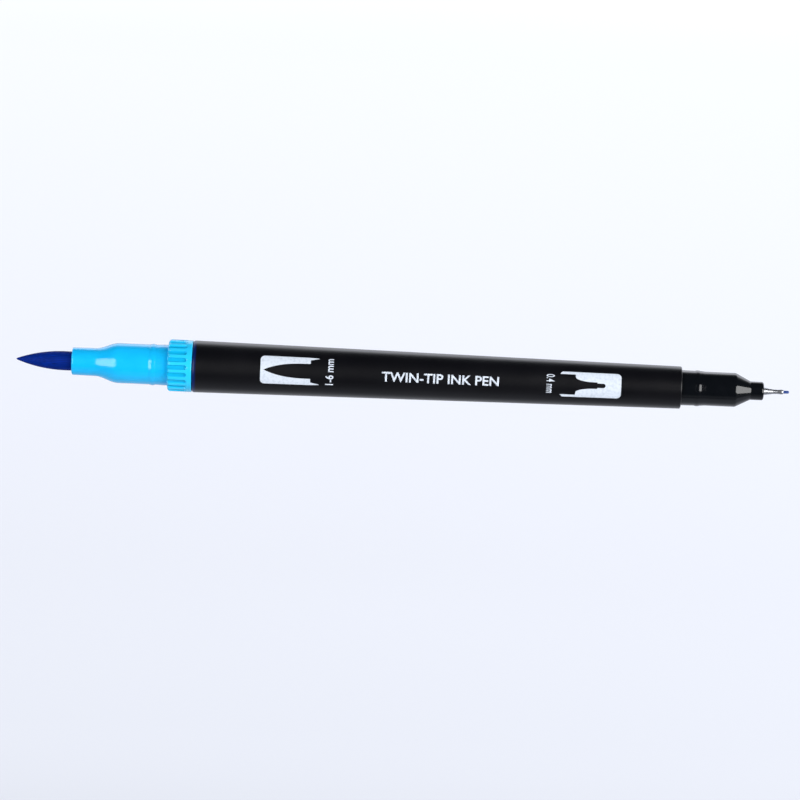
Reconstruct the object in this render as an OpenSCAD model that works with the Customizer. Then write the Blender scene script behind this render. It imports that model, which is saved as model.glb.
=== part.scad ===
// Twin-tip calligraphy marker with both caps off: a brush nib at one end, a fine liner at the other.
// Lengths are in millimetres. A station is a distance along the pen from the point of the brush nib.
// The model's origin is half way along the pen, on its axis, with +X running to the fine liner.

/* [Barrel] */
// Length of the barrel tube
barrel_len = 100.5; // [97:0.5:104]
// Outside diameter of the barrel and collar at the brush end
barrel_od_brush = 10.7; // [10.5:0.1:11]
// Outside diameter of the barrel at the fine end
barrel_od_fine = 8.7; // [8.6:0.1:9]
// Number of moulded ribs that centre the reservoir
barrel_rib_count = 6; // [4:1:8]

/* [Brush section] */
// Length of the nozzle that holds the brush nib
nozzle_len = 4.7; // [4:0.1:6]
// Diameter of the nozzle at its mouth
nozzle_od = 5.66; // [5.4:0.02:6]
// Length of the curved flare from the nozzle to the cap seat
flare_len = 5.2; // [4:0.1:7]
// Diameter of the cap seat at its mouth end
brush_seat_od = 8.24; // [8:0.02:8.5]
// Length of the cap seat, snap bead included
brush_seat_len = 9.9; // [9:0.1:11]
// Length of the plug that goes into the barrel
brush_plug_len = 10; // [9:0.5:10.5]

/* [Collar] */
// Length of the ribbed collar that the cap stops against
collar_len = 5; // [4.5:0.1:6]
// Number of grip grooves round the collar
groove_count = 21; // [16:1:24]
// Width of a grip groove
groove_w = 0.86; // [0.6:0.02:0.94]
// Length of a grip groove
groove_len = 3.9; // [3:0.1:4.1]
// Depth of a grip groove
groove_depth = 0.3; // [0.2:0.05:0.4]

/* [Brush nib] */
// Length of brush that shows in front of the nozzle
brush_out = 11.5; // [10:0.1:13]
// Diameter of the brush nib
brush_od = 3.95; // [3.8:0.01:4]
// Length of the pointed part of the brush
brush_point_len = 10; // [8.5:0.1:10]
// Whole length of the nib, from its point to the end of its tail
brush_nib_len = 38; // [36:0.5:40]
// Diameter of the tail that feeds from the reservoir
brush_tail_od = 3; // [2.8:0.05:3.1]

/* [Fine section] */
// Length of the fine end's cap seat
fine_seat_len = 11.2; // [10:0.1:12]
// Diameter of the cap seat next to the barrel
fine_seat_od = 7.2; // [7.18:0.01:7.3]
// Length of the cone in front of the cap seat
cone_len = 3.1; // [2.5:0.1:4]
// Length of the neck that grips the ferrule
neck_len = 2.7; // [2:0.1:4]
// Diameter of the neck
neck_od = 3.8; // [3.4:0.1:4.2]
// Length of the plug that goes into the barrel
fine_plug_len = 9; // [8:0.5:9.5]

/* [Ferrule and fine nib] */
// Outside diameter of the ferrule where it leaves the neck
ferrule_od = 1.6; // [1.5:0.05:1.8]
// Length of the ferrule's cone
ferrule_cone_len = 2; // [1.8:0.1:3]
// Outside diameter of the ferrule's front tube
ferrule_tube_od = 1; // [0.95:0.01:1.1]
// Length of the ferrule's front tube
ferrule_tube_len = 2.1; // [1.9:0.1:2.4]
// Length of nib that shows in front of the ferrule
fine_out = 1.2; // [0.8:0.1:1.6]
// Diameter of the nib's writing end
fine_tip_od = 0.6; // [0.5:0.01:0.62]
// Diameter of the nib's rod
fine_rod_od = 1.1; // [1:0.01:1.15]

/* [Reservoir] */
// Diameter of the reservoir with its film
reservoir_od = 6.3; // [6.1:0.05:6.4]
// Thickness of the reservoir's film
film_t = 0.1; // [0.05:0.01:0.15]

/* [Hidden] */
$fn = 96;

// Fits: radial play of a nib in its bore, and of a plug in the barrel.
nib_play = 0.04;
plug_play = 0.04;
rib_play = 0.03;

// Stations of the faces that show, from the brush point to the fine point.
s_nozzle = brush_out;
s_flare = s_nozzle + nozzle_len;
s_seat = s_flare + flare_len;
s_collar = s_seat + brush_seat_len;
s_barrel = s_collar + collar_len;
s_tail = s_barrel + barrel_len;
s_cone = s_tail + fine_seat_len;
s_neck = s_cone + cone_len;
s_ferrule = s_neck + neck_len;
s_tube = s_ferrule + ferrule_cone_len;
s_ferrule_end = s_tube + ferrule_tube_len;
pen_len = s_ferrule_end + fine_out;

// Radii that several parts share.
r_collar = barrel_od_brush / 2;
r_barrel_fine = barrel_od_fine / 2;
r_mouth = 4.34;
r_plug = r_mouth - plug_play;
r_bore_front = 4.05;
r_bore_rear = 3.52;
r_fine_plug = r_bore_rear - plug_play;
r_recess = fine_seat_od / 2 + plug_play;
plug_relief = 0.1;
r_brush = brush_od / 2;
r_brush_tail = brush_tail_od / 2;
r_nib_bore = r_brush + nib_play;
r_reservoir = reservoir_od / 2;
r_chamber = r_reservoir + 0.2;
r_ferrule = ferrule_od / 2;
r_ferrule_tube = ferrule_tube_od / 2;
ferrule_wall = 0.17;
r_rod = fine_rod_od / 2;
r_rod_bore = r_rod + 0.07;
r_fine_tip = fine_tip_od / 2;

// Stations hidden inside.
s_plug_end = s_barrel + brush_plug_len;
s_mouth_end = s_plug_end + 1;
s_bore_front = s_mouth_end + 1.2;
s_fine_plug = s_tail - fine_plug_len;
s_shoulder = s_tail - 0.4;
s_bore_rear = s_fine_plug - 1.8;
s_nib_shoulder = 24;
shoulder_len = 1.5;
s_chamber = 29.6;
s_reservoir = 31;
s_reservoir_end = s_fine_plug - 0.5;
s_ferrule_root = s_ferrule - 6.3;
s_rod_guide = s_ferrule_root - 11.5;
rod_dip = 6.5;
s_rod_end = s_reservoir_end - rod_dip;

// Points of a circular arc about a centre, for outlines whose points are [radius, station].
function arc(centre, r, from, to, steps = 6) =
    [for (i = [0:steps]) let (a = from + (to - from) * i / steps)
        [centre[0] + r * cos(a), centre[1] + r * sin(a)]];

// A smooth S from radius r0 at station s0 to radius r1 at station s1.
function flare(r0, s0, r1, s1, steps = 14) =
    [for (i = [0:steps]) let (t = i / steps)
        [r0 + (r1 - r0) * (1 - cos(180 * t)) / 2, s0 + (s1 - s0) * t]];

// A rounded bead of height h standing on radius r, from station s0 to s1.
function bead(r, h, s0, s1, steps = 8) =
    [for (i = [0:steps]) let (t = i / steps)
        [r + h * sin(180 * t), s0 + (s1 - s0) * t]];

// The pointed part of the brush: an arc that meets the shank's side without a corner.
// Its tip is rounded off with a small ball.
brush_ball = 0.22;
brush_over = 0.3;
point_len = brush_point_len + brush_over;
point_arc_r = (r_brush * r_brush + point_len * point_len) / (2 * r_brush);
function point_r(s) = sqrt(pow(point_arc_r, 2) - pow(brush_point_len - s, 2)) - point_arc_r + r_brush;
function brush_point(steps = 20) =
    concat([[0, 0], [brush_ball * 0.7, 0.07]],
           [for (i = [1:steps]) let (s = brush_point_len * pow(i / steps, 1.3) + 0.1 * (1 - i / steps))
               [point_r(s), s]]);

module along_pen() translate([-pen_len / 2, 0, 0]) rotate([0, 90, 0]) children();

module turned(outline) rotate_extrude() polygon(outline);

// The barrel: a moulded tube whose bore and outside both narrow towards the fine end.
module barrel() {
    edge = 0.15;
    front_round = 0.5;
    tail_round = 0.35;
    outline = concat(
        [[r_mouth + edge, s_barrel]],
        arc([r_collar - front_round, s_barrel + front_round], front_round, -90, 0),
        arc([r_barrel_fine - tail_round, s_tail - tail_round], tail_round, 0, 90),
        [[r_recess, s_tail], [r_recess, s_shoulder], [r_bore_rear, s_shoulder],
         [r_bore_rear, s_bore_rear], [r_bore_front, s_bore_front],
         [r_mouth, s_mouth_end], [r_mouth, s_barrel + edge]]);
    color("#17171b") along_pen() {
        turned(outline);
        for (i = [0:barrel_rib_count - 1]) rotate([0, 0, 360 / barrel_rib_count * i])
            barrel_rib();
    }
}

// One long rib inside the barrel, from just clear of the reservoir into the wall.
module barrel_rib() {
    rib_w = 0.6;
    rib_root = r_bore_front + 0.15;
    rib_top = r_reservoir + rib_play;
    translate([rib_top, -rib_w / 2, s_bore_front + 0.8])
        cube([rib_root - rib_top, rib_w, s_bore_rear - s_bore_front - 0.3]);
}

// The ink reservoir: bonded polyester fibre, with a pocket at each end for a nib's tail.
module reservoir_core() {
    r_core = r_reservoir - film_t;
    r_brush_pocket = r_brush_tail + 0.1;
    s_brush_pocket = brush_nib_len + 0.6;
    r_rod_pocket = r_rod + 0.05;
    s_rod_pocket = s_rod_end - 0.4;
    outline = [[0, s_brush_pocket], [r_brush_pocket, s_brush_pocket], [r_brush_pocket, s_reservoir],
               [r_core, s_reservoir], [r_core, s_reservoir_end], [r_rod_pocket, s_reservoir_end],
               [r_rod_pocket, s_rod_pocket], [0, s_rod_pocket]];
    color("#2c62b8") along_pen() turned(outline);
}

// The film wrapped round the reservoir.
module reservoir_film() {
    inset = 0.2;
    outline = [[r_reservoir - film_t, s_reservoir + inset], [r_reservoir, s_reservoir + inset],
               [r_reservoir, s_reservoir_end - inset],
               [r_reservoir - film_t, s_reservoir_end - inset]];
    color("#dfe9f2") along_pen() turned(outline);
}

// The brush end's moulding: nozzle, flare, cap seat with its snap bead, collar and plug.
module brush_section() {
    color("#19bdfa") along_pen() difference() {
        turned(brush_section_outline());
        for (i = [0:groove_count - 1]) rotate([0, 0, 180 + 360 / groove_count * i]) grip_groove();
        for (i = [0:3]) rotate([0, 0, 90 * i + 45]) air_channel();
    }
}

function brush_section_outline() =
    let (lip = 0.3, edge = 0.12, collar_round = 0.6, r_mouth_end = nozzle_od / 2,
         r_nozzle = r_mouth_end + 0.04, r_seat = brush_seat_od / 2, r_seat_back = r_seat + 0.07,
         s_bead = s_seat + 5.9, bead_len = 1.5, r_tail_bore = r_brush_tail + nib_play,
         r_relief = r_plug - plug_relief, land = 2.4)
    concat(
        [[r_nib_bore + edge, s_nozzle]],
        arc([r_mouth_end - lip, s_nozzle + lip], lip, -90, 0),
        flare(r_nozzle, s_flare, r_seat, s_seat),
        bead(r_seat, 0.13, s_bead, s_bead + bead_len),
        [[r_seat_back, s_bead + bead_len + 0.4], [r_seat_back, s_collar]],
        arc([r_collar - collar_round, s_collar + collar_round], collar_round, -90, 0),
        [[r_collar, s_barrel - edge], [r_collar - edge, s_barrel], [r_relief, s_barrel],
         [r_relief, s_barrel + 0.7], [r_plug, s_barrel + 0.9], [r_plug, s_barrel + 0.9 + land],
         [r_relief, s_barrel + 1.1 + land], [r_relief, s_plug_end - 0.9 - land],
         [r_plug, s_plug_end - 0.7 - land], [r_plug, s_plug_end - 0.7],
         [r_plug - 0.3, s_plug_end], [r_chamber, s_plug_end], [r_chamber, s_chamber],
         [r_tail_bore, s_chamber - 1.1], [r_tail_bore, s_nib_shoulder + shoulder_len + 0.2],
         [r_nib_bore, s_nib_shoulder + 0.2], [r_nib_bore, s_nozzle + edge]]);

// One grip groove: open at the collar's front, with a half-round end near the flange.
module grip_groove() {
    floor_r = r_collar - groove_depth;
    s_round = s_collar + groove_len - groove_w / 2;
    translate([floor_r, -groove_w / 2, s_collar - 1]) cube([2, groove_w, s_round - s_collar + 1]);
    translate([floor_r, 0, s_round]) rotate([0, 90, 0]) cylinder(d = groove_w, h = 2);
}

// One of the channels beside the nib that let air back to the reservoir.
module air_channel() {
    channel_r = 0.3;
    translate([r_nib_bore, 0, s_nozzle - 1])
        cylinder(r = channel_r, h = s_chamber - s_nozzle + 1.5);
}

// The brush nib: bonded nylon fibre, ground to a point in front and narrowed to a tail behind.
module brush_nib() {
    outline = concat(
        brush_point(),
        [[r_brush, s_nib_shoulder], [r_brush_tail, s_nib_shoulder + shoulder_len],
         [r_brush_tail, brush_nib_len - 0.8], [r_brush_tail - 0.7, brush_nib_len],
         [0, brush_nib_len]]);
    color("#0a2a96") along_pen() turned(outline);
}

// The fine end's moulding: plug, cap seat with its snap bead, cone and neck.
module fine_section() {
    r_seat = fine_seat_od / 2;
    r_seat_front = r_seat - 0.1;
    s_bead = s_tail + 2.75;
    bead_len = 1.2;
    r_relief = r_fine_plug - plug_relief;
    land = 2;
    shoulder_round = 0.9;
    r_neck = neck_od / 2;
    neck_round = 0.55;
    cone_angle = atan((r_seat_front - r_neck) / cone_len);
    tuck = shoulder_round * tan(cone_angle / 2);
    outline = concat(
        [[r_fine_plug - 0.25, s_fine_plug], [r_fine_plug, s_fine_plug + 0.5],
         [r_fine_plug, s_fine_plug + 0.5 + land], [r_relief, s_fine_plug + 0.7 + land],
         [r_relief, s_shoulder - 0.7 - land], [r_fine_plug, s_shoulder - 0.5 - land],
         [r_fine_plug, s_shoulder - 0.5], [r_relief, s_shoulder - 0.3], [r_relief, s_shoulder],
         [r_seat, s_shoulder]],
        bead(r_seat - 0.05, 0.1, s_bead, s_bead + bead_len),
        [[r_seat_front, s_bead + bead_len + 0.3]],
        arc([r_seat_front - shoulder_round, s_cone - tuck], shoulder_round, 0, cone_angle),
        [[r_neck, s_neck]],
        arc([r_neck - neck_round, s_ferrule - neck_round], neck_round, 0, 90),
        [[r_ferrule, s_ferrule], [r_ferrule, s_ferrule_root], [r_rod_bore, s_ferrule_root],
         [r_rod_bore, s_rod_guide], [2.3, s_rod_guide - 1.5], [2.3, s_fine_plug]]);
    color("#101216") along_pen() turned(outline);
}

// The ferrule: a drawn stainless tube, coned down and crimped over the nib.
module ferrule() {
    waist = 0.06;
    swell = 0.02;
    crimp = 0.1;
    r_in = r_rod_bore;
    r_tube_in = r_ferrule_tube - ferrule_wall;
    outline = [[r_in, s_ferrule_root], [r_ferrule, s_ferrule_root], [r_ferrule, s_ferrule],
               [r_ferrule_tube - 0.01, s_tube], [r_ferrule_tube - waist, s_tube + 0.9],
               [r_ferrule_tube, s_tube + 1.4], [r_ferrule_tube + swell, s_tube + 1.7],
               [r_ferrule_tube, s_ferrule_end - crimp],
               [r_ferrule_tube - crimp, s_ferrule_end], [r_tube_in, s_ferrule_end],
               [r_tube_in, s_tube + 0.1], [r_in, s_ferrule + 0.1]];
    color("#c9ccd1") along_pen() turned(outline);
}

// The fine nib: an extruded plastic rod with ink channels, ground to a thin round end.
module fine_nib() {
    outline = concat(
        [[0, s_rod_end], [r_rod - 0.15, s_rod_end], [r_rod, s_rod_end + 0.3], [r_rod, s_ferrule + 0.2],
         [r_fine_tip, s_tube - 0.1]],
        arc([0, pen_len - r_fine_tip], r_fine_tip, 0, 90));
    color("#24408c") along_pen() turned(outline);
}

barrel();
reservoir_core();
reservoir_film();
brush_section();
brush_nib();
fine_section();
ferrule();
fine_nib();
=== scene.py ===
import bmesh
import bpy
import numpy as np
from mathutils import Matrix, Vector


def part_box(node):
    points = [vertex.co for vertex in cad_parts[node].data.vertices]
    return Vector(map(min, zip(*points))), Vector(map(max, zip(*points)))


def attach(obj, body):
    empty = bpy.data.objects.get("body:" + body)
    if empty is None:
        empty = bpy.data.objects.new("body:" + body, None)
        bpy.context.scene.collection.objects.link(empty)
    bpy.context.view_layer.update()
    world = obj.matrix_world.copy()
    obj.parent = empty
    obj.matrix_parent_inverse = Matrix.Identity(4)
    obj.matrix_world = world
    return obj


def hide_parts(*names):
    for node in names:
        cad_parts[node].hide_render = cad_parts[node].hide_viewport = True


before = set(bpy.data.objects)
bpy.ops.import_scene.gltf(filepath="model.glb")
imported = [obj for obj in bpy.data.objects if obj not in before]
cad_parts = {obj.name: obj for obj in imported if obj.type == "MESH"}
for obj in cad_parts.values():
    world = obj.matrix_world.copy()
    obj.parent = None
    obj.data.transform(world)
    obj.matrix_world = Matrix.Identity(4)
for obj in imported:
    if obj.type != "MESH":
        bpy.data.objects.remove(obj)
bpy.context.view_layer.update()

# ---- Reservoir fibre ----
# A rod of crimped polyester fibre, bonded with heat and soaked with blue ink. It feeds both nibs.
# A pin has pressed a pocket into each of its ends, and a nib's tail sits in each pocket.
MM = 0.001


def span(node):
    """A CAD node's first and last station along the pen and its largest radius, in millimetres."""
    low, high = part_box(node)
    return low.x / MM, high.x / MM, high.z / MM


def rounded(corners, steps=6):
    """An outline in millimetres through corners (station, radius, rounding), closed on itself. A rounded
    corner becomes the arc that touches both its sides: the arc's centre plus a vector that swings evenly
    between them. A long straight run gets a point close to each of its ends, so that it is shaded
    straight."""
    long_run, hold = 1, 0.12
    listed = np.array([(*corner, 0)[:3] for corner in corners], float)
    here, size = listed[:, :2], listed[:, 2]
    back = np.roll(here, 1, axis=0) - here
    ahead = np.roll(here, -1, axis=0) - here
    back /= np.linalg.norm(back, axis=1, keepdims=True)
    ahead /= np.linalg.norm(ahead, axis=1, keepdims=True)
    half = np.arccos(np.clip((back * ahead).sum(axis=1), -1, 1)) / 2
    share = np.linspace(0, 1, steps + 1)[:, None]
    points = []
    for i, r in enumerate(size):
        swing = np.pi - 2 * half[i]
        if r == 0 or swing < 0.01:
            points.append(here[i : i + 1])
            continue
        middle = (back[i] + ahead[i]) / np.linalg.norm(back[i] + ahead[i])
        centre = here[i] + middle * r / np.sin(half[i])
        first = here[i] + back[i] * r / np.tan(half[i]) - centre
        last = here[i] + ahead[i] * r / np.tan(half[i]) - centre
        arc = (np.sin((1 - share) * swing) * first + np.sin(share * swing) * last) / np.sin(swing)
        points.append(centre + arc)
    outline = np.vstack(points)
    run = np.roll(outline, -1, axis=0) - outline
    length = np.linalg.norm(run, axis=1)
    long = (length > long_run) & (outline[:, 1] + np.roll(outline[:, 1], -1) > 0)
    near = hold * run[long] / length[long, None]
    held = np.stack([outline[long] + near, outline[long] + run[long] - near], axis=1).reshape(-1, 2)
    return np.insert(outline, np.repeat(np.flatnonzero(long) + 1, 2), held, axis=0)


def turned(name, outline, sides=192, carve=None):
    """A surface of revolution about the pen's axis, X. Point (i, j) is the outline's point i, (station,
    radius) in millimetres, carried round by angle j: (station, radius sin j, radius cos j). carve may
    change each radius. An outline that starts and ends on the axis is closed there by fans, and any other
    joins its own start."""
    sharp = np.radians(35)
    outline = np.asarray(outline, float)
    x, r = outline.T
    if (x * np.roll(r, -1) - np.roll(x, -1) * r).sum() < 0:
        outline = outline[::-1]
    capped = outline[0, 1] == 0
    rings = outline[1:-1] if capped else outline
    angle = np.linspace(0, 2 * np.pi, sides, endpoint=False)[None, :]
    station = np.repeat(rings[:, :1], sides, axis=1)
    radius = np.repeat(rings[:, 1:], sides, axis=1)
    if carve:
        radius = carve(station, radius, angle)
    points = np.stack([station, radius * np.sin(angle), radius * np.cos(angle)], axis=-1).reshape(-1, 3)
    number = np.arange(rings.shape[0] * sides).reshape(-1, sides)
    low, high = (number[:-1], number[1:]) if capped else (number, np.roll(number, -1, axis=0))
    quads = np.stack([low, np.roll(low, -1, axis=1), np.roll(high, -1, axis=1), high], axis=-1)
    faces = quads.reshape(-1, 4).tolist()
    if capped:
        ends = np.array([[outline[0, 0], 0, 0], [outline[-1, 0], 0, 0]])
        first, last = number[0], number[-1]
        one, two = np.full(sides, len(points)), np.full(sides, len(points) + 1)
        faces += np.stack([one, np.roll(first, -1), first], axis=1).tolist()
        faces += np.stack([last, np.roll(last, -1), two], axis=1).tolist()
        points = np.vstack([points, ends])
    mesh = bpy.data.meshes.new(name)
    mesh.from_pydata((points * MM).tolist(), [], faces)
    mesh.polygons.foreach_set("use_smooth", np.ones(len(faces), bool))
    mesh.set_sharp_from_angle(angle=sharp)
    piece = bpy.data.objects.new(name, mesh)
    bpy.context.scene.collection.objects.link(piece)
    return piece


def colour(code):
    """An sRGB hex colour as linear red, green, blue and full alpha."""
    value = np.array([int(code[i : i + 2], 16) for i in (1, 3, 5)]) / 255
    linear = np.where(value <= 0.04045, value / 12.92, ((value + 0.055) / 1.055) ** 2.4)
    return (*linear.tolist(), 1.0)


def add(tree, kind, inputs=None, **settings):
    """Adds a node with its settings. An input is given by name or number, as a value or as the output
    feeding it."""
    made = tree.nodes.new("ShaderNode" + kind)
    for key, value in settings.items():
        setattr(made, key, value)
    for key, value in (inputs or {}).items():
        if isinstance(value, bpy.types.NodeSocket):
            tree.links.new(value, made.inputs[key])
        else:
            made.inputs[key].default_value = value
    return made


# A Mix node's colour sockets go by number, because their names repeat.
BLEND, FIRST, SECOND, BLENDED = 0, 6, 7, 2


def finish_of(name):
    """A new material with an empty node tree, and that tree."""
    made = bpy.data.materials.new(name)
    made.use_nodes = True
    made.node_tree.nodes.clear()
    return made, made.node_tree


core_start, core_end, core_r = span("reservoir_core")
skin_r = core_r - 0.02
brush_pocket_end, brush_pocket_r = span("brush_nib")[1] + 0.6, 1.6
rod_pocket_end, rod_pocket_r = span("fine_nib")[0] - 0.4, 0.6
core = turned(
    "reservoir_fibre",
    rounded(
        [
            (brush_pocket_end, 0),
            (brush_pocket_end, brush_pocket_r - 0.02, 0.5),
            (core_start, brush_pocket_r, 0.25),
            (core_start, skin_r, 0.35),
            (core_end, skin_r, 0.35),
            (core_end, rod_pocket_r + 0.02, 0.15),
            (rod_pocket_end, rod_pocket_r, 0.3),
            (rod_pocket_end, 0),
        ]
    ),
)
# Polyester tow: fibres a few hundredths of a millimetre thick, drawn here 0.15 mm wide so that they show,
# and long along the rod. Wet fibre is darker between the strands and has little gloss.
tow, tree = finish_of("inked_polyester_tow")
place = add(tree, "TexCoord").outputs["Object"]
along = add(tree, "Mapping", {"Vector": place, "Scale": (1 / (6 * MM), 1 / (0.15 * MM), 1 / (0.15 * MM))})
strands = add(tree, "TexNoise", {"Vector": along.outputs[0], "Scale": 1, "Detail": 4, "Roughness": 0.6})
ink = add(
    tree,
    "Mix",
    {BLEND: strands.outputs["Fac"], FIRST: colour("#06236F"), SECOND: colour("#3B74CC")},
    data_type="RGBA",
)
bump = add(tree, "Bump", {"Height": strands.outputs["Fac"], "Strength": 0.6, "Distance": 0.05 * MM})
surface = add(
    tree,
    "BsdfPrincipled",
    {"Base Color": ink.outputs[BLENDED], "Roughness": 0.7, "IOR": 1.45, "Normal": bump.outputs[0]},
)
add(tree, "OutputMaterial", {"Surface": surface.outputs[0]})
core.data.materials.append(tow)
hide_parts("reservoir_core")
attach(core, "barrel_unit")

# ---- Reservoir film ----
# Clear film wrapped tightly round the fibre and sealed along one seam, so that the ink can't wet the barrel.
# It stops a little short of the fibre at both ends.
film_start, film_end, film_r = span("reservoir_film")
film_t, seam_w, seam_t, seam_slope = 0.1, 0.8, 0.03, 0.1
film_in_r = film_r - film_t + 0.01


def sealed(station, radius, angle):
    """The film's outside drops by seam_t all round, except on a strip seam_w wide along the bottom: the
    seam."""
    off = np.abs(angle - np.pi) * radius
    rise = np.clip((seam_w / 2 - off) / seam_slope, 0, 1)
    return np.where(radius > film_r - film_t / 2, radius - seam_t * (1 - rise), radius)


film = turned(
    "reservoir_film",
    rounded(
        [
            (film_start, film_in_r),
            (film_start, film_r, 0.03),
            (film_end, film_r, 0.03),
            (film_end, film_in_r),
        ],
        steps=3,
    ),
    sides=240,
    carve=sealed,
)
# Polypropylene film: clear and glossy, with fine wrinkles round the rod where it was pulled tight.
clear, tree = finish_of("clear_polypropylene_film")
place = add(tree, "TexCoord").outputs["Object"]
hoops = add(tree, "Mapping", {"Vector": place, "Scale": (1 / (0.9 * MM), 1 / (5 * MM), 1 / (5 * MM))})
wrinkle = add(tree, "TexNoise", {"Vector": hoops.outputs[0], "Scale": 1, "Detail": 2, "Roughness": 0.5})
bump = add(tree, "Bump", {"Height": wrinkle.outputs["Fac"], "Strength": 0.35, "Distance": 0.05 * MM})
surface = add(
    tree,
    "BsdfPrincipled",
    {
        "Base Color": colour("#DCE9F4"),
        "Roughness": 0.18,
        "IOR": 1.49,
        "Alpha": 0.18,
        "Normal": bump.outputs[0],
    },
)
add(tree, "OutputMaterial", {"Surface": surface.outputs[0]})
film.data.materials.append(clear)
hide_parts("reservoir_film")
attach(film, "barrel_unit")

# ---- Barrel ----
# The tube that is held: black polypropylene, injection moulded on a long tapered core pin, so that both
# its bore and its outside narrow towards the fine end. Six ribs inside centre the reservoir.
barrel_start, barrel_end, barrel_r = span("barrel")
barrel_end_r = 4.35
mouth_end, mouth_r = barrel_start + 11, 4.34
bore_start, bore_start_r = barrel_start + 12.2, 4.05
bore_end, bore_end_r = barrel_end - 10.8, 3.52
recess_r, recess_floor = 3.64, barrel_end - 0.4
rib_count, rib_w, rib_top, rib_wall = 6, 0.6, 3.18, 0.12
rib_start, rib_end, rib_slope = bore_start + 0.8, bore_end + 0.5, 0.3


def outside_r(station):
    """The barrel's outside radius: a straight taper from one end to the other."""
    return barrel_r + (barrel_end_r - barrel_r) * (station - barrel_start) / (barrel_end - barrel_start)


def bore_r(station):
    """The bore's radius: a straight taper between its two ends, and constant past them."""
    return np.interp(station, [bore_start, bore_end], [bore_start_r, bore_end_r])


def ribbed(station, radius, angle):
    """Inside, the radius drops to the ribs' top within half a rib's width of each rib's middle and
    between the two ends of the ribs, with a short slope at each edge."""
    pitch = 2 * np.pi / rib_count
    off = np.abs(np.mod(angle + pitch / 2, pitch) - pitch / 2) * radius
    wide = np.clip((rib_w / 2 - off) / rib_wall + 0.5, 0, 1)
    ends = np.minimum(station - rib_start, rib_end - station)
    height = np.maximum(radius - rib_top, 0) * wide * np.clip(ends / rib_slope, 0, 1)
    return np.where(radius < bore_start_r + 0.001, radius - height, radius)


rib_rows = np.concatenate(
    [np.linspace(rib_end, rib_end - rib_slope, 4), np.linspace(rib_start + rib_slope, rib_start, 4)]
)
barrel = turned(
    "barrel",
    rounded(
        [
            (barrel_start, barrel_r, 0.5),
            (barrel_end, barrel_end_r, 0.25),
            (barrel_end, recess_r, 0.05),
            (recess_floor, recess_r),
            (recess_floor, bore_end_r, 0.05),
            *np.column_stack([rib_rows, bore_r(rib_rows)]),
            (bore_start, bore_start_r),
            (mouth_end, mouth_r),
            (barrel_start, mouth_r, 0.12),
        ]
    ),
    sides=336,
    carve=ribbed,
)
# Satin black polypropylene: the mould was spark-eroded, which leaves a fine even grain of about 0.05 mm,
# drawn here 0.25 mm wide so that it shows. Handling leaves faint patches with more and less gloss. The
# rounded lip of the mouth is painted navy, a painted reflection of the blue collar beside it.
satin, tree = finish_of("satin_black_polypropylene")
place = add(tree, "TexCoord").outputs["Object"]
grain = add(tree, "TexNoise", {"Vector": place, "Scale": 1 / (0.25 * MM), "Detail": 3, "Roughness": 0.6})
patch = add(tree, "TexNoise", {"Vector": place, "Scale": 1 / (9 * MM), "Detail": 3, "Roughness": 0.55})
handled = add(tree, "MapRange", {"Value": patch.outputs["Fac"], "To Min": 0.26, "To Max": 0.36})
black = add(
    tree,
    "Mix",
    {BLEND: patch.outputs["Fac"], FIRST: colour("#050508"), SECOND: colour("#0B0B0F")},
    data_type="RGBA",
)
station = add(tree, "SeparateXYZ", {"Vector": place}).outputs["X"]
# The navy band on the mouth's rounded lip is a painted reflection of the blue collar.
painted_reflection_start, painted_reflection_end = barrel_start + 0.6, barrel_start + 0.9
lip = add(tree, "MapRange", {"Value": station, "From Min": painted_reflection_start * MM, "From Max": painted_reflection_end * MM})
tinted = add(
    tree,
    "Mix",
    {BLEND: lip.outputs["Result"], FIRST: colour("#02164C"), SECOND: black.outputs[BLENDED]},
    data_type="RGBA",
)
bump = add(tree, "Bump", {"Height": grain.outputs["Fac"], "Strength": 0.12, "Distance": 0.02 * MM})
surface = add(
    tree,
    "BsdfPrincipled",
    {
        "Base Color": tinted.outputs[BLENDED],
        "Roughness": handled.outputs["Result"],
        "IOR": 1.49,
        "Specular IOR Level": 0.28,
        "Normal": bump.outputs[0],
    },
)
add(tree, "OutputMaterial", {"Surface": surface.outputs[0]})
barrel.data.materials.append(satin)
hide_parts("barrel")
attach(barrel, "barrel_unit")

# ---- Print ----
# White ink, pad-printed along one side of the barrel: a picture of each tip on a white panel, that tip's
# line width, and a line of plain words between them. The ink stands a hundredth of a millimetre proud and
# dries half matt.
ink_lift, ink_sunk, strip = 0.012, 0.02, 0.25
PRINT_TURN = np.radians(30)
white, tree = finish_of("white_pad_printing_ink")
place = add(tree, "TexCoord").outputs["Object"]
mottle = add(tree, "TexNoise", {"Vector": place, "Scale": 1 / (0.5 * MM), "Detail": 3, "Roughness": 0.65})
thin = add(tree, "MapRange", {"Value": mottle.outputs["Fac"], "From Min": 0.3, "From Max": 0.55})
tone = add(
    tree,
    "Mix",
    {BLEND: thin.outputs["Result"], FIRST: colour("#B2BCC9"), SECOND: colour("#C5CDD9")},
    data_type="RGBA",
)
bump = add(tree, "Bump", {"Height": mottle.outputs["Fac"], "Strength": 0.2, "Distance": 0.01 * MM})
surface = add(
    tree,
    "BsdfPrincipled",
    {"Base Color": tone.outputs[BLENDED], "Roughness": 0.45, "IOR": 1.5, "Normal": bump.outputs[0]},
)
add(tree, "OutputMaterial", {"Surface": surface.outputs[0]})


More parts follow.
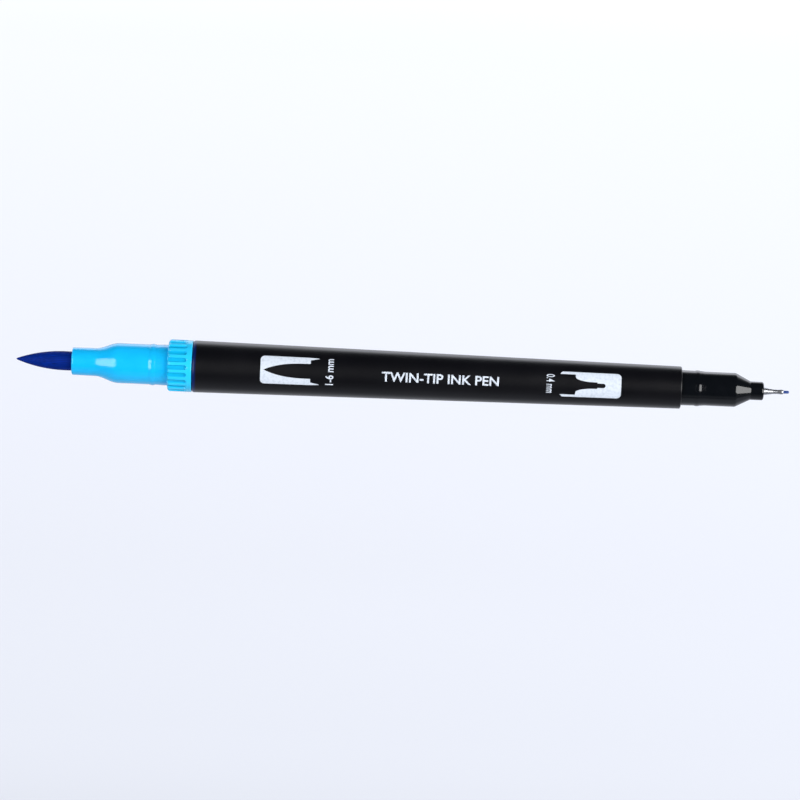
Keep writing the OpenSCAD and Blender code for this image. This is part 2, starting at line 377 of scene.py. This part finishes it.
def printed(name, flat, station, across=0, turn=0):
    """Wraps a flat shape, in millimetres, round the barrel as a thin closed layer of ink. The shape is
    turned and moved first. Then a point (x, y) goes to station x on the barrel's taper, at the angle y
    over the radius there from the printed side's middle line."""
    bmesh.ops.transform(flat, matrix=Matrix.Rotation(np.radians(turn), 4, "Z"), verts=flat.verts)
    bmesh.ops.transform(flat, matrix=Matrix.Translation((station, across, 0)), verts=flat.verts)
    low = min(point.co.y for point in flat.verts)
    high = max(point.co.y for point in flat.verts)
    for y in np.arange(np.ceil(low / strip), np.ceil(high / strip)) * strip:
        whole = flat.verts[:] + flat.edges[:] + flat.faces[:]
        bmesh.ops.bisect_plane(flat, geom=whole, dist=1e-4, plane_co=(0, y, 0), plane_no=(0, 1, 0))
    bmesh.ops.triangulate(flat, faces=flat.faces[:])
    mesh = bpy.data.meshes.new(name)
    flat.to_mesh(mesh)
    flat.free()
    points = np.zeros(len(mesh.vertices) * 3)
    mesh.vertices.foreach_get("co", points)
    x, y, _ = points.reshape(-1, 3).T
    angle = y / outside_r(station) - PRINT_TURN
    radius = outside_r(x) + ink_lift
    wrapped = np.stack([x, radius * np.sin(angle), radius * np.cos(angle)], axis=1)
    mesh.vertices.foreach_set("co", (wrapped * MM).ravel())
    piece = bpy.data.objects.new(name, mesh)
    bpy.context.scene.collection.objects.link(piece)
    layer = piece.modifiers.new("ink", "SOLIDIFY")
    layer.thickness = (ink_lift + ink_sunk) * MM
    layer.offset = -1
    mesh.materials.append(white)
    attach(piece, "barrel_unit")


def quads_of(rows, columns):
    """The quads between neighbouring points of a grid that is numbered row by row."""
    number = np.arange(rows * columns).reshape(rows, columns)
    corners = [number[:-1, :-1], number[1:, :-1], number[1:, 1:], number[:-1, 1:]]
    return np.stack(corners, axis=-1).reshape(-1, 4)


def panel(stations, bare, edge, rows=12):
    """A flat white panel with its picture left bare. At station i the upper half runs from the picture's
    half height to the panel's: point (i, j) is (station, bare + (edge - bare) * j / rows). The lower half
    mirrors it, and the two are joined where they meet."""
    x = np.repeat(stations[:, None], rows + 1, axis=1)
    y = bare[:, None] + (edge - bare)[:, None] * np.linspace(0, 1, rows + 1)
    upper = np.stack([x, y, 0 * x], axis=-1).reshape(-1, 3)
    points = np.vstack([upper, upper * (1, -1, 1)])
    above = quads_of(*x.shape)
    below = above[:, ::-1] + x.size
    shape = bpy.data.meshes.new("panel")
    shape.from_pydata(points.tolist(), [], np.vstack([above, below]).tolist())
    flat = bmesh.new()
    flat.from_mesh(shape)
    bpy.data.meshes.remove(shape)
    bmesh.ops.remove_doubles(flat, verts=flat.verts, dist=1e-4)
    return flat


def lettering(words, width, height, weight=0):
    """A flat line of words in the plain built-in typeface, centred, of this width and height in
    millimetres. The strokes are thickened by a share of the type's size."""
    line = bpy.data.curves.new("lettering", "FONT")
    line.body = words
    line.offset = weight
    line.resolution_u = 6
    held = bpy.data.objects.new("lettering", line)
    bpy.context.scene.collection.objects.link(held)
    bpy.context.view_layer.update()
    settled = held.evaluated_get(bpy.context.evaluated_depsgraph_get())
    shape = bpy.data.meshes.new_from_object(settled)
    flat = bmesh.new()
    flat.from_mesh(shape)
    bpy.data.objects.remove(held)
    bpy.data.meshes.remove(shape)
    bmesh.ops.remove_doubles(flat, verts=flat.verts, dist=1e-5)
    corners = np.array([point.co for point in flat.verts])
    low, high = corners.min(axis=0), corners.max(axis=0)
    wide, tall, _ = high - low
    bmesh.ops.translate(flat, vec=Vector(-(low + high) / 2), verts=flat.verts)
    bmesh.ops.scale(flat, vec=(width / wide, height / tall, 1), verts=flat.verts)
    return flat


def cornered(past, height, r):
    """A panel's half height where its corners are rounded: a quarter circle, past being how far into the
    corner."""
    return height - r + np.sqrt(r**2 - np.clip(past, 0, r) ** 2)


# The brush's picture: a panel whose far side opens into two prongs, with a leaf-shaped brush left bare in
# it.
panel_l, panel_h, panel_r = 10.25, 3, 0.9
prong_l, prong_t, prong_tip, prong_lean = 1.75, 0.62, 0.12, 0.1
leaf_l, leaf_h, leaf_power = 9.63, 1.58, 2.8
corner = panel_r * (1 - np.cos(np.linspace(0, np.pi / 2, 9)))
leaf = np.linspace(panel_l - leaf_l, panel_l, 40)
prong = np.linspace(panel_l + 0.02, panel_l + prong_l, 8)
stations = np.unique(np.concatenate([corner, leaf, prong]))
out = np.clip((stations - panel_l) / prong_l, 0, 1)
bare = np.where(
    stations > panel_l,
    panel_h - prong_t + out * (prong_t - prong_tip - prong_lean),
    leaf_h * (1 - np.clip((panel_l - stations) / leaf_l, 0, 1) ** leaf_power),
)
edge = cornered(panel_r - stations, panel_h, panel_r) - prong_lean * out
printed("print_brush_picture", panel(stations, bare, edge), barrel_start + 14.1, across=-0.05)
printed("print_brush_width", lettering("1-6 mm", 5.6, 1.7, 0.02), barrel_start + 28.25, turn=90)
printed("print_words", lettering("TWIN-TIP INK PEN", 24, 2, 0.02), barrel_start + 50.95, across=-0.45)

# The fine tip's picture: a panel whose near side opens into two prongs, with a stepped needle left bare
# in it.
panel_l, panel_h = 9.4, 2.7
prong_l, prong_slant, prong_lean = 3.1, 0.45, 0.45
needle_l, needle_r = 5.74, 0.46
needle_x = np.array([-prong_l, 0, 0.1, 0.4, 1, 1.8, 2.8, 4.5, 4.55, needle_l])
needle_h = np.array([2.15, 2.15, 1.4, 1.2, 0.98, 0.82, 0.7, 0.66, needle_r, needle_r])
needle_end = needle_l + needle_r * np.sin(np.linspace(0, np.pi / 2, 9))
corner = panel_l - panel_r * (1 - np.cos(np.linspace(0, np.pi / 2, 9)))
along = np.concatenate([[-prong_l + prong_slant], np.linspace(-2.4, 8.4, 37)])
stations = np.unique(np.concatenate([needle_x, needle_end, corner, along]).round(6))
point = needle_r * np.sqrt(np.clip(1 - ((stations - needle_l) / needle_r) ** 2, 0, 1))
point = np.where(stations < needle_l + needle_r, point, 0)
bare = np.where(stations > needle_l, point, np.interp(stations, needle_x, needle_h))
slant = np.clip((stations + prong_l) / prong_slant, 0, 1)
edge = cornered(stations - panel_l + panel_r, panel_h, panel_r) - prong_lean * (1 - slant)
printed("print_fine_width", lettering("0.4 mm", 4, 1.7, 0.01), barrel_start + 73.5, across=-0.4, turn=-90)
printed("print_fine_picture", panel(stations, bare, edge), barrel_start + 78.6, across=-0.4)

# ---- Brush section ----
# The sky-blue moulding that holds the brush: a nozzle, a flare and the seat and bead that a cap clicks
# over. A grooved collar stops the cap, and a hollow plug is pushed into the barrel. It is one shot of
# glossy polypropylene.
plug_end = span("brush_section")[1]
nozzle_start = span("brush_section")[0]
flare_start, flare_end = nozzle_start + 4.7, nozzle_start + 9.6
collar_start, collar_r = barrel_start - 5, barrel_r
nozzle_r, seat_r, seat_back_r = 2.87, 4.12, 4.19
bead_start, bead_l, bead_h, bead_fade = nozzle_start + 15.95, 1.4, 0.13, 1.6
groove_count, groove_w, groove_l, groove_d, groove_wall = 21, 0.86, 3.9, 0.38, 0.1
nib_bore_r, tail_bore_r, chamber_r = 2.015, 1.54, 3.35
chamber_start, bore_step = nozzle_start + 18.1, nozzle_start + 12.7
channel_r, channel_count = 0.3, 4
plug_r, relief_r = 4.3, 4.2
front_land, rear_land, land_l, land_slope = barrel_start + 0.9, plug_end - 0.7, 2.4, 0.2


def grooved(station, radius, angle):
    """Outside, each grip groove lowers the radius by its depth within half its width of its middle line.
    Its far end is the half circle at that width, and its walls slope a little. Inside, each air channel
    raises the radius to a round gutter: at a distance d from its middle, by the root of the channel's
    radius squared less d squared."""
    pitch = 2 * np.pi / groove_count
    off = np.abs(np.mod(angle + pitch / 2, pitch) - pitch / 2) * collar_r
    past = np.maximum(station - (collar_start + groove_l - groove_w / 2), 0)
    deep = np.clip((groove_w / 2 - np.hypot(off, past)) / groove_wall + 0.5, 0, 1)
    on_collar = (radius > seat_back_r + 0.2) & (station < barrel_start - 0.3)
    lowered = np.minimum(radius, np.maximum(collar_r - groove_d, 0))
    radius = np.where(on_collar, radius + (lowered - radius) * deep, radius)
    pitch = 2 * np.pi / channel_count
    off = np.abs(np.mod(angle, pitch) - pitch / 2) * nib_bore_r
    gutter = nib_bore_r + np.sqrt(np.maximum(channel_r**2 - off**2, 0))
    in_bore = (radius < nib_bore_r + 0.15) & (station < chamber_start - 0.3)
    return np.where(in_bore & (off < channel_r), np.maximum(radius, gutter), radius)


share = np.linspace(0, 1, 19)
flare = np.stack(
    [
        flare_start + (flare_end - flare_start) * share,
        nozzle_r + (seat_r - nozzle_r) * (1 - np.cos(np.pi * share)) / 2,
    ],
    axis=1,
)
share = np.linspace(0, 1, 13)
bead = np.stack([bead_start + bead_l * share, seat_r + bead_h * np.sin(np.pi * share)], axis=1)
straight_rows, end_rows = [1.2, 2.2, 3.2], np.linspace(groove_l - 0.55, groove_l + 0.1, 11)
groove_rows = collar_start + np.concatenate([straight_rows, end_rows])
brush_section = turned(
    "brush_section",
    rounded(
        [
            (nozzle_start, nib_bore_r, 0.1),
            (nozzle_start, nozzle_r - 0.04, 0.3),
            *flare,
            (flare_end + 3, seat_r),
            *bead,
            (bead_start + bead_l + bead_fade, seat_back_r),
            (collar_start, seat_back_r),
            (collar_start, collar_r, 0.6),
            *[(row, collar_r) for row in groove_rows],
            (barrel_start, collar_r, 0.2),
            (barrel_start, relief_r),
            (front_land - land_slope, relief_r),
            (front_land, plug_r),
            (front_land + land_l, plug_r),
            (front_land + land_l + land_slope, relief_r),
            (rear_land - land_l - land_slope, relief_r),
            (rear_land - land_l, plug_r),
            (rear_land, plug_r, 0.2),
            (plug_end, plug_r - 0.3, 0.1),
            (plug_end, chamber_r, 0.1),
            (chamber_start, chamber_r, 0.3),
            (chamber_start - 0.35, (chamber_r + tail_bore_r) / 2),
            (chamber_start - 1.1, tail_bore_r, 0.3),
            (bore_step + 1.5, tail_bore_r),
            (bore_step, nib_bore_r),
            (nozzle_start + 3, nib_bore_r),
        ]
    ),
    sides=504,
    carve=grooved,
)
# Sky-blue polypropylene from a polished mould: glossy, a little uneven where the plastic cooled, with the
# softest orange peel about 0.6 mm across. The collar is coloured a paler blue, and its grooves a darker
# blue: painted shade in the grooves.
blue, tree = finish_of("glossy_blue_polypropylene")
place = add(tree, "TexCoord").outputs["Object"]
peel = add(tree, "TexNoise", {"Vector": place, "Scale": 1 / (0.6 * MM), "Detail": 2, "Roughness": 0.5})
flow = add(tree, "TexNoise", {"Vector": place, "Scale": 1 / (4 * MM), "Detail": 2, "Roughness": 0.5})
polish = add(tree, "MapRange", {"Value": flow.outputs["Fac"], "To Min": 0.12, "To Max": 0.2})
sky = add(
    tree,
    "Mix",
    {BLEND: flow.outputs["Fac"], FIRST: colour("#0AA6E2"), SECOND: colour("#12B4F0")},
    data_type="RGBA",
)
from_axis = add(tree, "VectorMath", {0: place, 1: (0, 1, 1)}, operation="MULTIPLY")
radius = add(tree, "VectorMath", {0: from_axis.outputs[0]}, operation="LENGTH").outputs["Value"]
inner, outer = (seat_back_r + 0.21) * MM, (seat_back_r + 0.51) * MM
on_collar = add(tree, "MapRange", {"Value": radius, "From Min": inner, "From Max": outer})
low, high = (collar_r - groove_d) * MM, (collar_r - 0.06) * MM
hollow = add(
    tree,
    "MapRange",
    {"Value": radius, "From Min": low, "From Max": high, "To Min": 1, "To Max": 0},
)
# The darker blue in the collar's grooves is painted shade.
painted_groove_shade = add(tree, "Math", {0: on_collar.outputs[0], 1: hollow.outputs[0]}, operation="MULTIPLY")
land = add(
    tree,
    "Mix",
    {BLEND: on_collar.outputs[0], FIRST: sky.outputs[BLENDED], SECOND: colour("#24BCEC")},
    data_type="RGBA",
)
toned = add(
    tree,
    "Mix",
    {BLEND: painted_groove_shade.outputs[0], FIRST: land.outputs[BLENDED], SECOND: colour("#0AA2D0")},
    data_type="RGBA",
)
bump = add(tree, "Bump", {"Height": peel.outputs["Fac"], "Strength": 0.08, "Distance": 0.02 * MM})
surface = add(
    tree,
    "BsdfPrincipled",
    {
        "Base Color": toned.outputs[BLENDED],
        "Roughness": polish.outputs["Result"],
        "IOR": 1.49,
        "Normal": bump.outputs[0],
    },
)
add(tree, "OutputMaterial", {"Surface": surface.outputs[0]})
brush_section.data.materials.append(blue)
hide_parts("brush_section")
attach(brush_section, "brush_front")

# ---- Brush nib ----
# A rod of nylon fibres bonded side by side, ground to a slender point in front and narrowed to a tail
# behind. The tail goes into the reservoir's pocket and draws the ink, so the whole nib is soaked.
nib_start, nib_end, nib_r = span("brush_nib")
point_l, point_over, tip_l, shank_count = 10, 0.3, 0.3, 8
tail_r, shoulder_start, shoulder_l = 1.5, nib_start + 24, 1.5
arc_r = (nib_r**2 + (point_l + point_over) ** 2) / (2 * nib_r)
lay_count, lay_d = 34, 0.012


def point_r(length):
    """The point's radius this far behind its tip: an arc that runs straight into the shank, and a quarter
    ellipse over the first tip_l."""
    arc = np.sqrt(arc_r**2 - (point_l - length) ** 2) - arc_r + nib_r
    return arc * np.sqrt(1 - np.clip(1 - length / tip_l, 0, 1) ** 2)


def fibrous(station, radius, angle):
    """Shallow furrows along the nib: the radius drops by lay_d times a wave round the nib whose peaks are
    unevenly spaced and which turns slowly along it. They fade towards the axis."""
    drift = 3 * np.sin(5 * angle + 0.08 * station) + 2 * np.sin(2 * angle - 0.21 * station)
    wave = np.sin(lay_count * angle + drift)
    return radius - lay_d * (0.5 + 0.5 * wave) * np.clip(radius / nib_r, 0, 1)


share = np.linspace(0, 1, 56)[1:]
length = point_l * share**1.7
ground = np.stack([nib_start + length, point_r(length)], axis=1)
shank_rows = np.linspace(nib_start + point_l + 1, shoulder_start, shank_count)
brush_nib = turned(
    "brush_nib",
    rounded(
        [
            (nib_start, 0),
            *ground,
            *np.column_stack([shank_rows, np.full(shank_count, nib_r)]),
            (shoulder_start + shoulder_l, tail_r, 0.3),
            (nib_end - 0.8, tail_r, 0.2),
            (nib_end, tail_r - 0.7, 0.2),
            (nib_end, 0),
        ]
    ),
    sides=288,
    carve=fibrous,
)
# Nylon fibre soaked in blue ink: fibres about 0.05 mm thick, drawn 0.12 mm wide so that they show, and
# long along the nib. It is deep blue, darker between the fibres, and wet enough for a dull gloss.
nylon, tree = finish_of("inked_nylon_fibre")
place = add(tree, "TexCoord").outputs["Object"]
along = add(tree, "Mapping", {"Vector": place, "Scale": (1 / (5 * MM), 1 / (0.12 * MM), 1 / (0.12 * MM))})
fibres = add(tree, "TexNoise", {"Vector": along.outputs[0], "Scale": 1, "Detail": 4, "Roughness": 0.6})
deep = add(tree, "MapRange", {"Value": fibres.outputs["Fac"], "From Min": 0.3, "From Max": 0.7})
ink = add(
    tree,
    "Mix",
    {BLEND: deep.outputs["Result"], FIRST: colour("#001650"), SECOND: colour("#00268A")},
    data_type="RGBA",
)
bump = add(tree, "Bump", {"Height": fibres.outputs["Fac"], "Strength": 0.5, "Distance": 0.03 * MM})
surface = add(
    tree,
    "BsdfPrincipled",
    {
        "Base Color": ink.outputs[BLENDED],
        "Roughness": 0.6,
        "IOR": 1.45,
        "Specular IOR Level": 0.06,
        "Normal": bump.outputs[0],
    },
)
add(tree, "OutputMaterial", {"Surface": surface.outputs[0]})
brush_nib.data.materials.append(nylon)
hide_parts("brush_nib")
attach(brush_nib, "brush_tip")

# ---- Fine section ----
# The glossy black moulding at the other end: a plug pushed into the barrel, the seat and bead that a cap
# clicks over, a cone, and a neck that holds the ferrule.
fine_start, neck_end, fine_r = span("fine_section")
fine_plug_r, fine_relief_r = 3.48, 3.38
tail_land, mouth_land, fine_land_l = fine_start + 0.5, recess_floor - 0.5, 2
fine_bead_start, fine_bead_l, fine_bead_h, fine_bead_fade = barrel_end + 2.75, 1.2, 0.1, 1
seat_front_r, cone_start, cone_end, neck_r = 3.5, barrel_end + 11.2, barrel_end + 14.3, 1.9
ferrule_root, ferrule_r, socket_r = neck_end - 6.3, 0.8, 0.81
rod_guide, rod_bore_r, well_r = neck_end - 17.8, 0.62, 2.3
share = np.linspace(0, 1, 13)
bead_foot_r = fine_r - 0.05
fine_bead = np.stack(
    [
        fine_bead_start + fine_bead_l * share,
        bead_foot_r + fine_bead_h * np.sin(np.pi * share),
    ],
    axis=1,
)
fine_section = turned(
    "fine_section",
    rounded(
        [
            (fine_start, well_r, 0.1),
            (fine_start, fine_plug_r - 0.25, 0.1),
            (tail_land, fine_plug_r, 0.2),
            (tail_land + fine_land_l, fine_plug_r),
            (tail_land + fine_land_l + land_slope, fine_relief_r),
            (mouth_land - fine_land_l - land_slope, fine_relief_r),
            (mouth_land - fine_land_l, fine_plug_r),
            (mouth_land, fine_plug_r),
            (mouth_land + land_slope, fine_relief_r),
            (recess_floor, fine_relief_r),
            (recess_floor, fine_r, 0.05),
            *fine_bead,
            (fine_bead_start + fine_bead_l + fine_bead_fade, seat_front_r),
            (cone_start, seat_front_r, 0.9),
            (cone_end, neck_r, 0.2),
            (neck_end, neck_r, 0.4),
            (neck_end, socket_r, 0.05),
            (ferrule_root, socket_r),
            (ferrule_root, rod_bore_r),
            (rod_guide, rod_bore_r),
            (rod_guide - 1.5, well_r, 0.3),
        ]
    ),
    sides=256,
)
# Black polypropylene from a polished mould: deep black and glossy, with soft orange peel about 0.6 mm
# across and faint rubbed patches where the cap slides on.
gloss, tree = finish_of("glossy_black_polypropylene")
place = add(tree, "TexCoord").outputs["Object"]
peel = add(tree, "TexNoise", {"Vector": place, "Scale": 1 / (0.6 * MM), "Detail": 2, "Roughness": 0.5})
rub = add(tree, "TexNoise", {"Vector": place, "Scale": 1 / (2.5 * MM), "Detail": 4, "Roughness": 0.6})
worn = add(tree, "MapRange", {"Value": rub.outputs["Fac"], "From Min": 0.4, "To Min": 0.1, "To Max": 0.17})
jet = add(
    tree,
    "Mix",
    {BLEND: rub.outputs["Fac"], FIRST: colour("#040609"), SECOND: colour("#0A0C10")},
    data_type="RGBA",
)
bump = add(tree, "Bump", {"Height": peel.outputs["Fac"], "Strength": 0.06, "Distance": 0.02 * MM})
surface = add(
    tree,
    "BsdfPrincipled",
    {
        "Base Color": jet.outputs[BLENDED],
        "Roughness": worn.outputs["Result"],
        "IOR": 1.49,
        "Specular IOR Level": 0.4,
        "Normal": bump.outputs[0],
    },
)
add(tree, "OutputMaterial", {"Surface": surface.outputs[0]})
fine_section.data.materials.append(gloss)
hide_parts("fine_section")
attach(fine_section, "fine_front")

# ---- Ferrule ----
# A drawn stainless steel tube that is coned down in front, crimped over the nib with a shallow waist, and
# pressed into the neck.
ferrule_end = span("ferrule")[1]
tube_start, tube_r, tube_in_r, tube_end_r = neck_end + 2, 0.49, 0.33, 0.46
waist, waist_r, swell, swell_r = tube_start + 0.9, 0.44, tube_start + 1.7, 0.52
ferrule = turned(
    "ferrule",
    rounded(
        [
            (ferrule_root, rod_bore_r),
            (ferrule_root, ferrule_r, 0.06),
            (neck_end, ferrule_r, 0.3),
            (tube_start, tube_r, 1.2),
            (waist, waist_r, 1),
            (swell, swell_r, 0.6),
            (ferrule_end, tube_end_r, 0.1),
            (ferrule_end, tube_in_r, 0.04),
            (tube_start + 0.1, tube_in_r, 0.2),
            (neck_end + 0.1, rod_bore_r, 0.2),
        ]
    ),
    sides=160,
)
# Drawn stainless steel: fine rings from the rollers that coned it, about 0.02 mm apart, drawn 0.08 mm
# apart so that they show, over a soft even shine.
steel, tree = finish_of("drawn_stainless_steel")
place = add(tree, "TexCoord").outputs["Object"]
hoops = add(tree, "Mapping", {"Vector": place, "Scale": (1 / (0.08 * MM), 1 / (2 * MM), 1 / (2 * MM))})
rings = add(tree, "TexNoise", {"Vector": hoops.outputs[0], "Scale": 1, "Detail": 3, "Roughness": 0.6})
dull = add(tree, "MapRange", {"Value": rings.outputs["Fac"], "To Min": 0.28, "To Max": 0.4})
tone = add(
    tree,
    "Mix",
    {BLEND: rings.outputs["Fac"], FIRST: colour("#9A9CA0"), SECOND: colour("#B4B6BA")},
    data_type="RGBA",
)
bump = add(tree, "Bump", {"Height": rings.outputs["Fac"], "Strength": 0.25, "Distance": 0.01 * MM})
surface = add(
    tree,
    "BsdfPrincipled",
    {
        "Base Color": tone.outputs[BLENDED],
        "Metallic": 1,
        "Roughness": dull.outputs["Result"],
        "Normal": bump.outputs[0],
    },
)
add(tree, "OutputMaterial", {"Surface": surface.outputs[0]})
ferrule.data.materials.append(steel)
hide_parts("ferrule")
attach(ferrule, "fine_front")

# ---- Fine nib ----
# An extruded rod of acetal plastic with ink channels in it, ground to a thin round writing end. Its tail
# reaches into the reservoir, and the ink has stained it.
rod_start, fine_tip, rod_r = span("fine_nib")
fine_tip_r, tail_end_r, tail_chamfer = 0.3, rod_r - 0.15, 0.3
fine_nib = turned(
    "fine_nib",
    rounded(
        [
            (rod_start, 0),
            (rod_start, tail_end_r, 0.05),
            (rod_start + tail_chamfer, rod_r, 0.15),
            (neck_end + 0.2, rod_r, 0.3),
            (tube_start - 0.1, fine_tip_r, 0.3),
            (fine_tip, fine_tip_r, 0.28),
            (fine_tip, 0),
        ]
    ),
    sides=128,
)
# Inked acetal: smooth, half matt, and stained unevenly from the channels outwards.
acetal, tree = finish_of("inked_acetal_rod")
place = add(tree, "TexCoord").outputs["Object"]
along = add(tree, "Mapping", {"Vector": place, "Scale": (1 / (3 * MM), 1 / (0.25 * MM), 1 / (0.25 * MM))})
stain = add(tree, "TexNoise", {"Vector": along.outputs[0], "Scale": 1, "Detail": 3, "Roughness": 0.6})
ink = add(
    tree,
    "Mix",
    {BLEND: stain.outputs["Fac"], FIRST: colour("#152C66"), SECOND: colour("#2C4A8C")},
    data_type="RGBA",
)
bump = add(tree, "Bump", {"Height": stain.outputs["Fac"], "Strength": 0.3, "Distance": 0.01 * MM})
surface = add(
    tree,
    "BsdfPrincipled",
    {"Base Color": ink.outputs[BLENDED], "Roughness": 0.4, "IOR": 1.48, "Normal": bump.outputs[0]},
)
add(tree, "OutputMaterial", {"Surface": surface.outputs[0]})
fine_nib.data.materials.append(acetal)
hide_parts("fine_nib")
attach(fine_nib, "fine_front")

# ---- Floor ----
# A plain pale floor, 12 m square. The pen is held in the air over it, as it is in use, so the floor lies
# well below.
floor_w, floor_drop = 12000, 120
side = np.linspace(-floor_w / 2, floor_w / 2, 25)
x, y = np.meshgrid(side, side, indexing="ij")
z = np.full_like(x, -floor_drop)
points = np.stack([x, y, z], axis=-1).reshape(-1, 3)
mesh = bpy.data.meshes.new("floor")
mesh.from_pydata((points * MM).tolist(), [], quads_of(*x.shape).tolist())
floor = bpy.data.objects.new("floor", mesh)
bpy.context.scene.collection.objects.link(floor)
# A matt pale floor with a breath of blue. Its glow is painted light, not a lamp: dim in front of the pen,
# brighter towards the back, brightest far behind it.
board, tree = finish_of("pale_floor_painted_glow")
place = add(tree, "TexCoord").outputs["Object"]
depth = add(tree, "SeparateXYZ", {"Vector": place}).outputs["Y"]
near_start, near_end, far_start, far_end = -120 * MM, -25 * MM, 160 * MM, 360 * MM
near = add(
    tree,
    "MapRange",
    {"Value": depth, "From Min": near_start, "From Max": near_end, "To Min": 0.16, "To Max": 0.57},
    interpolation_type="SMOOTHSTEP",
)
rise = add(tree, "MapRange", {"Value": depth, "From Min": near_end, "From Max": far_start, "To Max": 0.22})
far = add(
    tree,
    "MapRange",
    {"Value": depth, "From Min": far_start, "From Max": far_end, "To Max": 1.8},
    interpolation_type="SMOOTHSTEP",
)
# The floor's painted glow: dim in front of the pen, brighter towards the back.
front = add(tree, "Math", {0: near.outputs["Result"], 1: rise.outputs["Result"]})
glow = add(tree, "Math", {0: front.outputs[0], 1: far.outputs["Result"]})
surface = add(
    tree,
    "BsdfPrincipled",
    {
        "Base Color": colour("#8A8E96"),
        "Roughness": 0.8,
        "Specular IOR Level": 0,
        "Emission Color": colour("#F4F6FF"),
        "Emission Strength": glow.outputs[0],
    },
)
add(tree, "OutputMaterial", {"Surface": surface.outputs[0]})
mesh.materials.append(board)

# ---- Studio light ----
# Soft boxes stand round the pen, each placed by two angles: its lean from the printed side towards the
# fine end, and its turn about the pen's axis, from the printed side towards the back. The room is dim,
# apart from its pale walls near the floor, and the wall behind the pen is the paler.
toward = Vector((0, -np.sin(PRINT_TURN), np.cos(PRINT_TURN)))
upward = Vector((0, np.cos(PRINT_TURN), np.sin(PRINT_TURN)))
forward = Vector((1, 0, 0))


def soft_box(name, lean, turn, width, height, brightness, distance=0.6):
    """A rectangular soft box that faces the pen, with white light and sizes in metres. Its power is its
    brightness times four times its area."""
    lean, turn = np.radians(lean), np.radians(turn)
    out = toward * np.cos(turn) + upward * np.sin(turn)
    facing = forward * np.sin(lean) + out * np.cos(lean)
    across = forward * np.cos(lean) - out * np.sin(lean)
    lamp = bpy.data.lights.new(name, "AREA")
    lamp.shape = "RECTANGLE"
    lamp.size, lamp.size_y = width, height
    lamp.energy = 4 * width * height * brightness
    box = bpy.data.objects.new(name, lamp)
    bpy.context.scene.collection.objects.link(box)
    turned_to = Matrix((across, facing.cross(across), facing)).transposed().to_4x4()
    box.matrix_world = Matrix.Translation(facing * distance) @ turned_to
    box.visible_camera = False


soft_box("soft_box_brush_end", lean=-39.5, turn=0, width=0.41, height=0.47, brightness=4.6)
soft_box("soft_box_fine_end", lean=48, turn=3, width=0.52, height=0.42, brightness=6)
room = bpy.data.worlds.new("dim_room")
room.use_nodes = True
tree = room.node_tree
tree.nodes.clear()
facing = add(tree, "SeparateXYZ", {"Vector": add(tree, "TexCoord").outputs["Generated"]})
level = add(
    tree,
    "MapRange",
    {"Value": facing.outputs["Z"], "From Max": 0.28, "To Min": 1, "To Max": 0},
)
wall = add(
    tree,
    "MapRange",
    {"Value": facing.outputs["Y"], "From Min": -0.5, "From Max": 0.3, "To Min": 0.3, "To Max": 0.85},
)
pale = add(tree, "Math", {0: level.outputs["Result"], 1: wall.outputs["Result"]}, operation="MULTIPLY")
shade = add(
    tree,
    "Mix",
    {BLEND: pale.outputs[0], FIRST: colour("#3A3D42"), SECOND: colour("#F4F8FF")},
    data_type="RGBA",
)
air = add(tree, "Background", {"Color": shade.outputs[BLENDED], "Strength": 1})
add(tree, "OutputWorld", {"Surface": air.outputs[0]})
bpy.context.scene.world = room
bpy.context.scene.view_settings.view_transform = "Standard"

# ---- Camera ----
# A long lens square to the pen, facing the printed side. It is rolled a little, so that the fine end sits
# lower.
roll = np.radians(2.5)
right = forward * np.cos(roll) + upward * np.sin(roll)
up = upward * np.cos(roll) - forward * np.sin(roll)
lens = bpy.data.cameras.new("camera")
lens.lens = 175
lens.sensor_width = 36
lens.clip_start = 0.05
lens.clip_end = 10
camera = bpy.data.objects.new("camera", lens)
bpy.context.scene.collection.objects.link(camera)
distance, shift_left, shift_down = 0.8, 0.566 * MM, 5.05 * MM
spot = toward * distance - right * shift_left - up * shift_down
camera.matrix_world = Matrix.Translation(spot) @ Matrix((right, up, toward)).transposed().to_4x4()
bpy.context.scene.camera = camera
